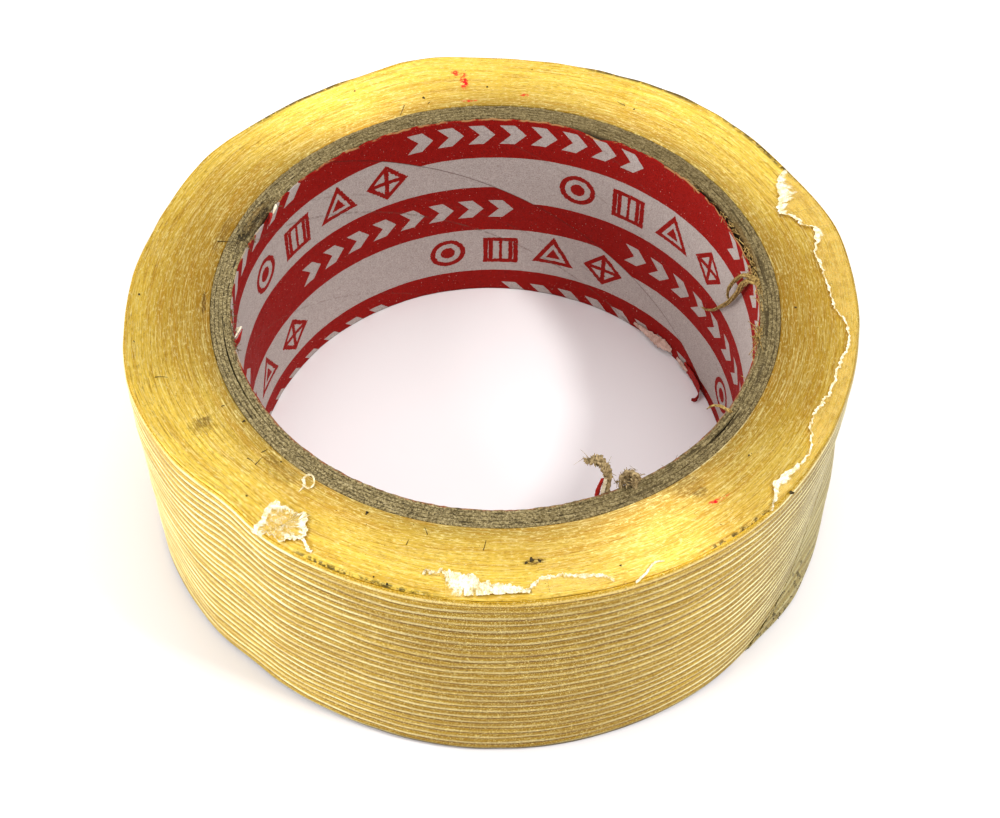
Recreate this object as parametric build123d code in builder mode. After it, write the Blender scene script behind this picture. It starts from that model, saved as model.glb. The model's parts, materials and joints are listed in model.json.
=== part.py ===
from build123d import *

import os
from math import atan, atan2, cos, degrees, pi, radians, sin

# A part-used roll of filament tape on a spiral-wound paperboard core.
# The roll lies on one side face. +Z is the bore axis and the origin is where that axis meets
# the surface that the roll lies on. The loose end of the tape stands off the wall towards +X.
# Angles are in degrees about +Z, counted from +X. Lengths are in millimetres.

# Driving dimensions
roll_width = 40.0
bore_radius = 38.1  # a standard 3-inch core
liner_thickness = 0.15  # the printed paper inside the core
ply_thickness = 0.59  # one strip of chipboard
ply_count = 5
pack_buildup = 11.5  # about ninety turns of tape
edge_relief = 0.1  # the core and the last turn are this much short of each side face

# The strips of the core are wound on a helix, and each strip's edges nearly meet.
seam_pitch = 123.6  # height of one whole turn of the helix
seam_gap = 0.3  # between the two edges, square to the seam
liner_seam_start = 19.2  # where the liner's seam crosses the lower side face
seam_stagger = 67.0  # each ply's seam is turned by this much from the one inside it

# The tape: a clear film, lengthwise glass yarns, and the adhesive that holds them.
film_thickness = 0.06
adhesive_thickness = 0.16
yarn_count = 26
yarn_width = 0.9
yarn_thickness = 0.1
tape_layers = ("adhesive", "yarns", "film")

# The last turn and the loose end that goes on from it
free_end_root = 35.0
free_end_middle = 0.0
free_end_tip = -42.0
free_end_lift = 0.3  # between the wall and the loose end at its root
free_end_middle_lift = 1.4
free_end_tip_lift = 0.6
free_end_tip_margin = 4.0  # degrees of tape past the tip, for the tear to cut away
free_end_floor_gap = 0.3
turn_gap = 0.3  # left open between the two ends of the last turn
torn_end = ((-46, -1), (-42, 0), (-34, 7), (-29, 11), (-18, 20), (-12, 28), (-3, 34), (5, 41))

# Film that tore off and stuck to the upper side face, as (angle, radius) along the torn edge
scrap_thickness = 0.08
scrap_rim_inset = 0.2
right_scrap_edge = (
    (-44.6, 51.7), (-41.5, 50.1), (-36.9, 50.7), (-33.5, 51.0), (-29.2, 49.1), (-22.3, 49.3),
    (-16.9, 49.7), (-10.0, 50.7), (-5.4, 50.2), (-1.5, 48.7), (7.7, 47.9), (11.5, 48.1),
    (16.2, 49.7), (17.7, 48.1), (21.5, 46.1), (25.4, 47.7), (28.5, 48.5), (30.8, 51.4),
)
front_scrap_edge = (
    (-96.5, 52.0), (-100.0, 48.7), (-96.2, 48.3), (-92.3, 48.7), (-91.5, 49.9), (-84.6, 50.7),
    (-82.7, 49.3), (-80.0, 49.7), (-74.6, 50.1), (-72.3, 51.3),
)
left_scrap_edge = (
    (-122.0, 52.4), (-118.4, 51.2), (-117.3, 49.0), (-118.5, 47.2), (-121.5, 46.6),
    (-125.0, 47.3), (-127.3, 49.0), (-126.6, 51.0), (-124.8, 52.1),
)
curl_angle = -125.5
curl_centre_radius = 42.4
curl_radius = 1.0
curl_height = 1.4
curl_thickness = 0.1
curl_opening = 0.7

# A loose yarn on the upper side face
loose_yarn_radius = 0.15
loose_yarn_route = ((-69.6, 52.3), (-66.4, 52.0), (-64.6, 50.7))

# Derived sizes
core_radius = bore_radius + liner_thickness + ply_count * ply_thickness
pack_radius = core_radius + pack_buildup
film_radius = pack_radius + adhesive_thickness
wall_radius = film_radius + film_thickness
core_length = roll_width - 2 * edge_relief
seam_twist = 360 / seam_pitch  # degrees per millimetre of height
overshoot = 1.0  # how far a cutter reaches past what it cuts

os.makedirs("parts", exist_ok=True)


def polar(angle, radius):
    """The plan position of a point on the roll."""
    return (radius * cos(radians(angle)), radius * sin(radians(angle)))


def bearing(point, centre):
    """The angle about +Z at which a point lies from a centre."""
    return degrees(atan2(point.Y - centre.Y, point.X - centre.X))


def save(part, label):
    part.label = label
    export_step(part, f"parts/{label}.step")


def seam_cutter(inner, outer, start_angle):
    """A thin radial blade twisted along the helix that a strip's edges follow."""
    mean = (inner + outer) / 2
    helix = atan(seam_pitch / (2 * pi * mean))
    base = Vector(0, 0, edge_relief - overshoot)
    height = core_length + 2 * overshoot
    with BuildSketch(Plane.XY.offset(base.Z)) as blade:
        with Locations(polar(start_angle - overshoot * seam_twist, mean)):
            Rectangle(outer - inner + 2 * overshoot, seam_gap / sin(helix), rotation=start_angle)
    return Solid.extrude_linear_with_rotation(
        blade.sketch.face(), base, Vector(0, 0, height), height * seam_twist
    )


def wound_ply(inner, outer, seam_start):
    """One layer of the core: a tube with its strip's helical butt joint left open."""
    cutter = seam_cutter(inner, outer, seam_start)
    with BuildPart() as ply:
        with BuildSketch(Plane.XY.offset(edge_relief)):
            Circle(outer)
            Circle(inner, mode=Mode.SUBTRACT)
        extrude(amount=core_length)
        add(cutter, mode=Mode.SUBTRACT)
    return ply.part


def radial_plane(centre, angle):
    """The upright plane through an upright axis, with its x outwards at this angle."""
    return Plane(
        origin=(centre.X, centre.Y, 0),
        x_dir=(cos(radians(angle)), sin(radians(angle)), 0),
        z_dir=(sin(radians(angle)), -cos(radians(angle)), 0),
    )


def yarn_sections(inner, bottom, height, mode=Mode.ADD):
    """The yarns' cross-sections, evenly spaced over the height and against the film."""
    pitch = height / yarn_count
    across = inner + adhesive_thickness - yarn_thickness / 2
    with Locations((across, bottom + height / 2)):
        with GridLocations(pitch, pitch, 1, yarn_count):
            Rectangle(yarn_thickness, yarn_width, mode=mode)


def laminate_section(plane, layer, inner, bottom, height):
    """One layer of the tape, cut square across; inner is the adhesive's inner radius."""
    middle = bottom + height / 2
    with BuildSketch(plane) as section:
        if layer == "film":
            with Locations((inner + adhesive_thickness + film_thickness / 2, middle)):
                Rectangle(film_thickness, height)
        elif layer == "yarns":
            yarn_sections(inner, bottom, height)
        else:
            with Locations((inner + adhesive_thickness / 2, middle)):
                Rectangle(adhesive_thickness, height)
            yarn_sections(inner, bottom, height, mode=Mode.SUBTRACT)
    return section.sketch


# The core: the printed liner inside, then the chipboard plies.
liner_outer = bore_radius + liner_thickness
save(wound_ply(bore_radius, liner_outer, liner_seam_start), "printed_liner")
for index in range(ply_count):
    ply_inner = liner_outer + index * ply_thickness
    ply_seam = liner_seam_start + (index + 1) * seam_stagger
    save(wound_ply(ply_inner, ply_inner + ply_thickness, ply_seam), f"core_ply_{index + 1}")

# The wound tape: one strip, whose turns are bonded to each other.
with BuildPart() as wound_tape:
    with BuildSketch():
        Circle(pack_radius)
        Circle(core_radius, mode=Mode.SUBTRACT)
    extrude(amount=roll_width)
save(wound_tape.part, "wound_tape")

# The last turn, layer by layer, from the loose end's root all the way round.
bore_axis_foot = Vector(0, 0, 0)
turn_arc = 360 * (1 - turn_gap / (2 * pi * wall_radius))
for layer in tape_layers:
    turn_plane = radial_plane(bore_axis_foot, free_end_root)
    turn_section = laminate_section(turn_plane, layer, pack_radius, edge_relief, core_length)
    with BuildPart() as last_turn:
        add(turn_section)
        revolve(axis=Axis.Z, revolution_arc=turn_arc)
    save(last_turn.part, f"last_turn_{layer}")

# The loose end: the same three layers, on an arc of their own that stands off the wall.
root_point = Vector(*polar(free_end_root, wall_radius + free_end_lift))
middle_point = Vector(*polar(free_end_middle, wall_radius + free_end_middle_lift))
cut_angle = free_end_tip - free_end_tip_margin
tip_point = Vector(*polar(cut_angle, wall_radius + free_end_tip_lift))
free_end_path = ThreePointArc(tip_point, middle_point, root_point)
free_end_centre = free_end_path.arc_center
free_end_radius = free_end_path.radius
free_end_axis = Axis(free_end_centre, (0, 0, 1))
tip_bearing = bearing(tip_point, free_end_centre)
root_bearing = bearing(root_point, free_end_centre)
free_end_height = roll_width - edge_relief - free_end_floor_gap
tear_line = [(wall_radius * sin(radians(a)), z) for a, z in torn_end]
tear_outline = [(-wall_radius, torn_end[0][1]), *tear_line, (-wall_radius, torn_end[-1][1])]
for layer in tape_layers:
    end_plane = radial_plane(free_end_centre, tip_bearing)
    end_section = laminate_section(
        end_plane, layer, free_end_radius, free_end_floor_gap, free_end_height
    )
    with BuildPart() as free_end:
        add(end_section)
        revolve(axis=free_end_axis, revolution_arc=root_bearing - tip_bearing)
        with BuildSketch(Plane.YZ):
            with BuildLine():
                Polyline(*tear_outline, close=True)
            make_face()
        extrude(amount=2 * wall_radius, mode=Mode.SUBTRACT)
    save(free_end.part, f"free_end_{layer}")

# Film scraps on the upper side face. The first two run out to the rim of the roll.
upper_face = Plane.XY.offset(roll_width)
rim_radius = pack_radius - scrap_rim_inset
for name, edge in (("right", right_scrap_edge), ("front", front_scrap_edge)):
    first_angle = edge[0][0]
    last_angle = edge[-1][0]
    rim_start = polar(first_angle, rim_radius)
    rim_middle = polar((first_angle + last_angle) / 2, rim_radius)
    rim_end = polar(last_angle, rim_radius)
    with BuildPart() as scrap:
        with BuildSketch(upper_face):
            with BuildLine():
                Polyline(rim_start, *[polar(a, r) for a, r in edge], rim_end)
                ThreePointArc(rim_end, rim_middle, rim_start)
            make_face()
        extrude(amount=scrap_thickness)
    save(scrap.part, f"film_scrap_{name}")

with BuildPart() as film_scrap_left:
    with BuildSketch(upper_face):
        with BuildLine():
            Polyline(*[polar(a, r) for a, r in left_scrap_edge], close=True)
        make_face()
    extrude(amount=scrap_thickness)
save(film_scrap_left.part, "film_scrap_left")

# A narrow scrap stands on its edge, curled into a loop.
with BuildPart() as film_scrap_curl:
    with BuildSketch(upper_face):
        with Locations(polar(curl_angle, curl_centre_radius)):
            Circle(curl_radius + curl_thickness)
            Circle(curl_radius, mode=Mode.SUBTRACT)
        with Locations(polar(curl_angle, curl_centre_radius + curl_radius)):
            Rectangle(curl_opening * 2, curl_opening, rotation=curl_angle, mode=Mode.SUBTRACT)
    extrude(amount=curl_height)
save(film_scrap_curl.part, "film_scrap_curl")

# A loose yarn lies on the upper side face, near the front.
with BuildPart() as loose_yarn:
    with BuildLine(Plane.XY.offset(roll_width + loose_yarn_radius)) as yarn_path:
        ThreePointArc(*[polar(a, r) for a, r in loose_yarn_route])
    with BuildSketch(Plane(origin=yarn_path.line @ 0, z_dir=yarn_path.line % 0)):
        Circle(loose_yarn_radius)
    sweep()
save(loose_yarn.part, "loose_yarn")
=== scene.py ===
import json
import math
from functools import partialmethod

import bpy
import numpy as np
from mathutils import Matrix, Vector


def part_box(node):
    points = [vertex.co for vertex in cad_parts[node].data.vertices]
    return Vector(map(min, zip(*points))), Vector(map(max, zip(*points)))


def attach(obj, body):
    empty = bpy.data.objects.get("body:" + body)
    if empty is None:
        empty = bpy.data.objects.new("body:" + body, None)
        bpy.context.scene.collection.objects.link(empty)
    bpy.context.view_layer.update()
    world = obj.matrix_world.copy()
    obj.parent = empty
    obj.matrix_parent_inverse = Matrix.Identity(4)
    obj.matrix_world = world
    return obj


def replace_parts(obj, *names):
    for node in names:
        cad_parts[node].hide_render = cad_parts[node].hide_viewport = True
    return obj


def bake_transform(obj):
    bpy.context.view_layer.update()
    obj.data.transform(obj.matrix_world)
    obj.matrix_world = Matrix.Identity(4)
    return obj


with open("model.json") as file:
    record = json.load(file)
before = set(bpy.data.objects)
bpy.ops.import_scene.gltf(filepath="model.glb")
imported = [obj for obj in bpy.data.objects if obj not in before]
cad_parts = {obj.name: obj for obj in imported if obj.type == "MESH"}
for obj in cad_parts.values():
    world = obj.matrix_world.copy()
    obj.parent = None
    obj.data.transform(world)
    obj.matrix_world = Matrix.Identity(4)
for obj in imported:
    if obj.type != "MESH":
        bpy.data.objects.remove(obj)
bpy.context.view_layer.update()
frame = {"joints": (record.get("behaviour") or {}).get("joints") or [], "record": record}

# A part-used roll of filament tape on a printed paperboard core, lying on its side.
# Lengths are in millimetres in this script's own sums and in metres in Blender.
# Angles are in degrees about +Z, counted from +X; the camera looks from -90 towards +90.
MM = 0.001

# Sizes from the frame
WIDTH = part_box("wound_tape")[1].z / MM
PACK_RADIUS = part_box("wound_tape")[1].x / MM
WALL_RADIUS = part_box("last_turn_film")[1].x / MM
CORE_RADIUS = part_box("core_ply_5")[1].x / MM
CORE_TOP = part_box("core_ply_1")[1].z / MM
CORE_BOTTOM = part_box("core_ply_1")[0].z / MM
BORE_RADIUS = frame["record"]["mounts"][0]["dims"]["r_mm"]
HINGE = Vector(frame["joints"][0]["pos_m"]) / MM

# Sizes repeated from the CAD
LINER_THICKNESS = 0.15
PLY_COUNT = 5
PLY_THICKNESS = (CORE_RADIUS - BORE_RADIUS - LINER_THICKNESS) / PLY_COUNT
YARN_COUNT = 26
TURN_COUNT = 90

# Where the wall stands out from or falls short of a circle: (angle, half-width, millimetres)
BULGES = (
    (-161, 13, 1.0), (-133, 8, -1.3), (-115, 16, -0.5), (-75, 20, -0.3), (-22, 26, -0.55),
    (16, 7, 0.5), (33, 7, -0.4), (54, 14, 0.5), (103, 9, 1.3), (148, 10, 0.4), (178, 10, 0.2),
)

# ---- small maths ----


def bulge(angle):
    """How far the wall stands out of round at each angle."""
    total = np.zeros_like(angle)
    for centre, half_width, amount in BULGES:
        apart = (angle - centre + 180.0) % 360.0 - 180.0
        total += amount * np.exp(-((apart / half_width) ** 2))
    return total


def smooth(t):
    t = np.clip(t, 0.0, 1.0)
    return t * t * (3 - 2 * t)


def bump(x, centre, half_width):
    """1 at the centre, falling smoothly to 0 at half_width away."""
    return smooth(1 - np.abs(x - centre) / half_width)


def ripple(u, v, cells_u, cells_v, seed):
    """Smooth random values from -1 to 1 on a lattice. u repeats every 1; v runs from 0 to 1."""
    table = np.random.default_rng(seed).uniform(-1, 1, (cells_u, cells_v + 2))
    a = (u % 1.0) * cells_u
    b = np.clip(v, 0, 1) * cells_v
    i, j = np.floor(a).astype(int), np.floor(b).astype(int)
    s, t = smooth(a - i), smooth(b - j)
    i0, i1 = i % cells_u, (i + 1) % cells_u
    low = table[i0, j] * (1 - s) + table[i1, j] * s
    high = table[i0, j + 1] * (1 - s) + table[i1, j + 1] * s
    return low * (1 - t) + high * t


def line_ripple(u, cells, seed):
    """Smooth random values from -1 to 1 along a line."""
    return ripple(u, 0 * u, cells, 1, seed)


def polar(angle, radius, z):
    """A point, or an array of points, from angles, radii and heights."""
    a = np.radians(angle)
    return np.stack([radius * np.cos(a), radius * np.sin(a), z + 0 * a], axis=-1)


def polar_route(*places):
    """Points in space from (angle, radius, height) triples."""
    return [polar(angle, radius, z) for angle, radius, z in places]


def face_height(angle, share):
    """The upper side face's height; share runs from 0 at the core to 1 at the wall."""
    u = angle / 360.0
    slow = 0.07 * ripple(u, share, 14, 9, 11)
    middle = 0.035 * ripple(u, share, 40, 30, 12)
    turns = 0.022 * ripple(u, share, 70, TURN_COUNT, 13)
    rounded = -0.12 * smooth((share - 0.98) / 0.02) - 0.1 * smooth((0.03 - share) / 0.03)
    return WIDTH - 0.08 + slow + middle + turns + rounded


def face_share(angle, radius):
    """Where a radius lies between the core and the wall."""
    return (radius - CORE_RADIUS) / (PACK_RADIUS + bulge(angle) - CORE_RADIUS)


def on_face(angle, radius, lift):
    """A point a little above the upper side face."""
    return polar(angle, radius, face_height(angle, face_share(angle, radius)) + lift)


# ---- meshes ----


def finish_mesh(name, verts, faces, material, body="roll"):
    """A piece from points in millimetres, with its material and the body that it rides on."""
    mesh = bpy.data.meshes.new(name)
    mesh.from_pydata((np.asarray(verts, float) * MM).tolist(), [], faces)
    mesh.validate()
    piece = bpy.data.objects.new(name, mesh)
    bpy.context.scene.collection.objects.link(piece)
    mesh.polygons.foreach_set("use_smooth", [True] * len(mesh.polygons))
    mesh.update()
    mesh.materials.append(material)
    if body:
        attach(piece, body)
    return piece


def grid_faces(nu, nv, closed_u, closed_v):
    iu = np.arange(nu if closed_u else nu - 1)
    iv = np.arange(nv if closed_v else nv - 1)
    i, j = np.meshgrid(iu, iv, indexing="ij")
    near, far, above = i * nv, ((i + 1) % nu) * nv, (j + 1) % nv
    return np.stack([near + j, far + j, far + above, near + above], -1).reshape(-1, 4)


def grid_piece(name, points, material):
    """A closed piece from an array of (columns round the roll, rows, 3)."""
    faces = grid_faces(*points.shape[:2], True, True)
    return finish_mesh(name, points.reshape(-1, 3), faces.tolist(), material)


def strip_uv(piece, values):
    """Texture coordinates, one pair for each corner of each face."""
    layer = piece.data.uv_layers.new(name="strip")
    layer.data.foreach_set("uv", np.asarray(values, np.float32).ravel())


def grid_uv(piece, us, vs):
    """Texture coordinates of a grid piece: one value per column and one per row."""
    us = np.append(us, us[-1] + (us[-1] - us[-2]))
    vs = np.append(vs, vs[-1])
    i, j = np.meshgrid(np.arange(len(us) - 1), np.arange(len(vs) - 1), indexing="ij")
    corners = [(i, j), (i + 1, j), (i + 1, j + 1), (i, j + 1)]
    strip_uv(piece, np.stack([np.stack([us[p], vs[q]], -1) for p, q in corners], axis=2))


def point_attribute(piece, name, values):
    attribute = piece.data.attributes.new(name, "FLOAT", "POINT")
    attribute.data.foreach_set("value", np.asarray(values, np.float32).ravel())


def capped(rings):
    """(points, faces) of a closed tube through rings of points."""
    count, sides = rings.shape[:2]
    faces = grid_faces(count, sides, False, True).tolist()
    faces.append(list(range(sides))[::-1])
    faces.append([(count - 1) * sides + i for i in range(sides)])
    return rings.reshape(-1, 3), faces


def tube(path, radii, sides, flatten=1.0, twist=0.0):
    """A tube along a path, for a yarn, fibre or rolled strip."""
    path = np.asarray(path, float)
    along = np.gradient(path, axis=0)
    along /= np.linalg.norm(along, axis=1)[:, None]
    up = np.array([0.31, 0.22, 0.93])
    a = np.linspace(0, 2 * math.pi, sides, endpoint=False)
    rings = []
    for k, (p, t) in enumerate(zip(path, along)):
        up = up - t * (up @ t)
        up /= np.linalg.norm(up)
        turn = twist * k / (len(path) - 1)
        x, y = np.cos(a) * radii[k], np.sin(a) * radii[k] * flatten
        c, s = math.cos(turn), math.sin(turn)
        rings.append(p + np.outer(x * c - y * s, np.cross(t, up)) + np.outer(x * s + y * c, up))
    return capped(np.array(rings))


def curve_through(points, count):
    """Evenly spaced points on a smooth line through a few points."""
    p = np.asarray(points, float)
    p = np.vstack([2 * p[0] - p[1], p, 2 * p[-1] - p[-2]])
    out = []
    for t in np.linspace(0, len(p) - 3 - 1e-9, count):
        f = t - int(t)
        a, b, c, d = p[int(t) : int(t) + 4]
        square, cube = 2 * a - 5 * b + 4 * c - d, 3 * b - a - 3 * c + d
        out.append(0.5 * ((2 * b) + (c - a) * f + square * f**2 + cube * f**3))
    return np.array(out)


def ribbon(route, across, thickness, seed, ragged=0.12, count=40):
    """A thin bent strip along a route; across is its half-width at each route point."""
    line = curve_through(route, count)
    side = curve_through(across, count)
    rng = np.random.default_rng(seed)
    along = np.gradient(line, axis=0)
    along /= np.linalg.norm(along, axis=1)[:, None]
    facing = np.cross(along, side)
    facing /= np.linalg.norm(facing, axis=1)[:, None] + 1e-9
    steps = np.linspace(-1, 1, 7)
    jitter = 1 + ragged * rng.normal(0, 1, (count, 1, 1)) * np.sign(steps)[None, :, None]
    cross = line[:, None] + side[:, None] * steps[None, :, None] * jitter
    buckle = ragged * thickness * rng.normal(0, 1, (count, 7))
    front = cross + facing[:, None] * (thickness / 2 + buckle[..., None])
    back = cross - facing[:, None] * (thickness / 2 - buckle[..., None])
    return capped(np.concatenate([front, back[:, ::-1]], axis=1))


def joined(name, parts, material, body="roll"):
    """One piece from several (points, faces) parts."""
    verts, faces = [], []
    for part_verts, part_faces in parts:
        base = len(verts)
        verts.extend(np.asarray(part_verts).tolist())
        faces.extend([[base + i for i in f] for f in part_faces])
    return finish_mesh(name, verts, faces, material, body)


# ---- material nodes ----


class Wire:
    """A node's output. Sums on it make nodes: & is 1 where both are 1, | where either is."""

    def __init__(self, paint, socket):
        self.paint = paint
        self.socket = socket

    def math(self, operation, other=0.0, third=0.0, clamp=False):
        inputs = {0: self, 1: other, 2: third}
        return self.paint.out("ShaderNodeMath", inputs, operation=operation, use_clamp=clamp)

    __add__ = partialmethod(math, "ADD")
    __sub__ = partialmethod(math, "SUBTRACT")
    __mul__ = partialmethod(math, "MULTIPLY")
    __and__ = partialmethod(math, "MULTIPLY", clamp=True)
    __or__ = partialmethod(math, "MAXIMUM")
    __lt__ = partialmethod(math, "LESS_THAN")
    __gt__ = partialmethod(math, "GREATER_THAN")
    __abs__ = partialmethod(math, "ABSOLUTE")

    def __rsub__(self, number):
        """A number less this."""
        inputs = {0: number, 1: self, 2: 0.0}
        return self.paint.out("ShaderNodeMath", inputs, operation="SUBTRACT")

    def ramp(self, low, high, out_low=0.0, out_high=1.0):
        """A clamped smooth step from low to high."""
        inputs = {"Value": self, "From Min": low, "From Max": high}
        inputs.update({"To Min": out_low, "To Max": out_high})
        return self.paint.out("ShaderNodeMapRange", inputs, interpolation_type="SMOOTHSTEP")

    def noise(self, scale, detail=3.0, rough=0.5):
        """Smooth noise from 0 to 1 at these coordinates."""
        inputs = {"Vector": self, "Scale": scale, "Detail": detail, "Roughness": rough}
        return self.paint.out("ShaderNodeTexNoise", inputs)


class Paint:
    """Builds one material's node graph. Values are wires or numbers."""

    def __init__(self, name):
        self.material = bpy.data.materials.new(name)
        self.material.use_nodes = True
        self.tree = self.material.node_tree
        self.shader = self.tree.nodes["Principled BSDF"]
        self.colour = None

    def put(self, socket, value):
        if isinstance(value, Wire):
            self.tree.links.new(value.socket, socket)
        elif isinstance(value, tuple) and len(value) == 3 and len(socket.default_value) == 4:
            socket.default_value = (*value, 1.0)
        else:
            socket.default_value = value

    def node(self, kind, inputs=(), **settings):
        node = self.tree.nodes.new(kind)
        for key, value in settings.items():
            setattr(node, key, value)
        for key, value in dict(inputs).items():
            self.put(node.inputs[key], value)
        return node

    def out(self, kind, inputs=(), output=0, **settings):
        """A new node's output."""
        return Wire(self, self.node(kind, inputs, **settings).outputs[output])

    def split(self, vector):
        return [Wire(self, s) for s in self.node("ShaderNodeSeparateXYZ", {0: vector}).outputs]

    def mix(self, factor, a, b):
        """A colour: a where the factor is 0, b where it is 1."""
        inputs = {"Factor": factor, 6: a, 7: b}
        return self.out("ShaderNodeMix", inputs, 2, data_type="RGBA", blend_type="MIX")

    def place(self):
        metres = self.out("ShaderNodeTexCoord", output=3)
        inputs = {0: metres, 1: (1 / MM, 1 / MM, 1 / MM)}
        return self.out("ShaderNodeVectorMath", inputs, operation="MULTIPLY")

    def axes(self):
        """The object's own coordinates in millimetres: x, y and z, and all three as a vector."""
        here = self.place()
        return *self.split(here), here

    def coat(self, mask, *tone):
        """Lays a colour over the material's own where the mask is 1."""
        self.colour = self.mix(mask, self.colour, rgb(*tone))

    def wash(self, value, low, high, strength, *tone):
        """Lays a colour over the material's own as a value goes from low to high."""
        self.coat(value.ramp(low, high, 0.0, strength), *tone)

    def vector(self, x, y, z):
        return self.out("ShaderNodeCombineXYZ", {0: x, 1: y, 2: z})

    def attribute(self, name):
        return self.out("ShaderNodeAttribute", output=2, attribute_name=name)

    def bump(self, height, strength, distance):
        """A normal from heights; distance is in millimetres."""
        inputs = {"Height": height, "Strength": strength, "Distance": distance * MM}
        return self.out("ShaderNodeBump", inputs)

    def finish(self, **sockets):
        for key, value in sockets.items():
            self.put(self.shader.inputs[key.replace("_", " ")], value)
        return self.material


def rgb(red, green, blue):
    """A colour given as it looks on a screen, 0 to 255, as Blender's linear numbers."""
    return tuple(
        c / 12.92 if c <= 0.04045 else ((c + 0.055) / 1.055) ** 2.4
        for c in (red / 255, green / 255, blue / 255)
    )


def angle_of(x, y):
    """The angle about the bore, in degrees."""
    return y.math("ARCTAN2", x) * (180 / math.pi)


def degrees_from(angle, centre):
    """How far an angle is from a centre, in degrees, either way round."""
    return abs((angle - centre).math("WRAP", 180.0, -180.0))


def spot(x, y, angle, radius, length, width, noise):
    """A ragged mark on a side face: 1 inside an ellipse that lies along the turns, 0 outside."""
    cos, sin = math.cos(math.radians(angle)), math.sin(math.radians(angle))
    dx, dy = x - radius * cos, y - radius * sin
    across = dx * (cos / width) + dy * (sin / width)
    along = dx * (-sin / length) + dy * (cos / length)
    far = (across * across + along * along).math("SQRT")
    return (far + (noise - 0.5) * 1.6).ramp(1.0, 0.55)


def radial_tangent(paint, x, y):
    """The direction straight out from the axis, along which the turned edges scatter light."""
    out = paint.out("ShaderNodeVectorTransform", {0: paint.vector(x, y, 0.0)},
                    vector_type="VECTOR", convert_from="OBJECT", convert_to="WORLD")
    return paint.out("ShaderNodeVectorMath", {0: out}, operation="NORMALIZE")


# Marks on the upper side face: (angle, radius, length, width, strength)
SMUDGES = (
    (-147.6, 46.9, 1.9, 2.2, 0.4), (-148.0, 46.4, 1.0, 1.3, 0.55), (-53, 42.8, 2.8, 2.3, 0.45),
    (-52, 44.5, 1.6, 0.8, 0.55), (-83.4, 46.7, 1.6, 0.6, 0.9), (-176, 42.1, 3.0, 0.4, 0.9),
    (-120, 47.3, 5.0, 1.2, 0.2), (-130.5, 43.2, 3.4, 1.6, 0.35), (-134, 42.6, 1.4, 1.0, 0.45),
    (165, 42.4, 4.5, 0.9, 0.5),
)
RED_MARKS = (
    (97.0, 47.4, 0.8, 2.6, 1.0), (98.5, 49.3, 0.9, 1.0, 0.9), (96.5, 42.3, 1.6, 0.35, 0.9),
    (84.6, 43.9, 0.9, 0.4, 0.8), (-51.0, 46.8, 0.9, 0.35, 1.0), (-50.0, 47.0, 1.8, 0.2, 0.6),
    (-52.0, 46.5, 0.6, 0.25, 0.8),
)
# Grime along the outer edge: (angle, half-width, how patchy it is)
EDGE_GRIME = (
    (-109, 14, 0.5), (-52, 8, 0.53), (38, 13, 0.46), (63, 15, 0.42), (128, 13, 0.42),
)


def edge_grime(angle, noise):
    """1 where grime has stuck to the outer edge, at any radius."""
    dirty = None
    for centre, half, patchy in EDGE_GRIME:
        patch = degrees_from(angle, centre).ramp(half, half * 0.5)
        patch = patch & noise.ramp(patchy - 0.08, patchy + 0.08)
        dirty = patch if dirty is None else dirty | patch
    return dirty


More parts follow.
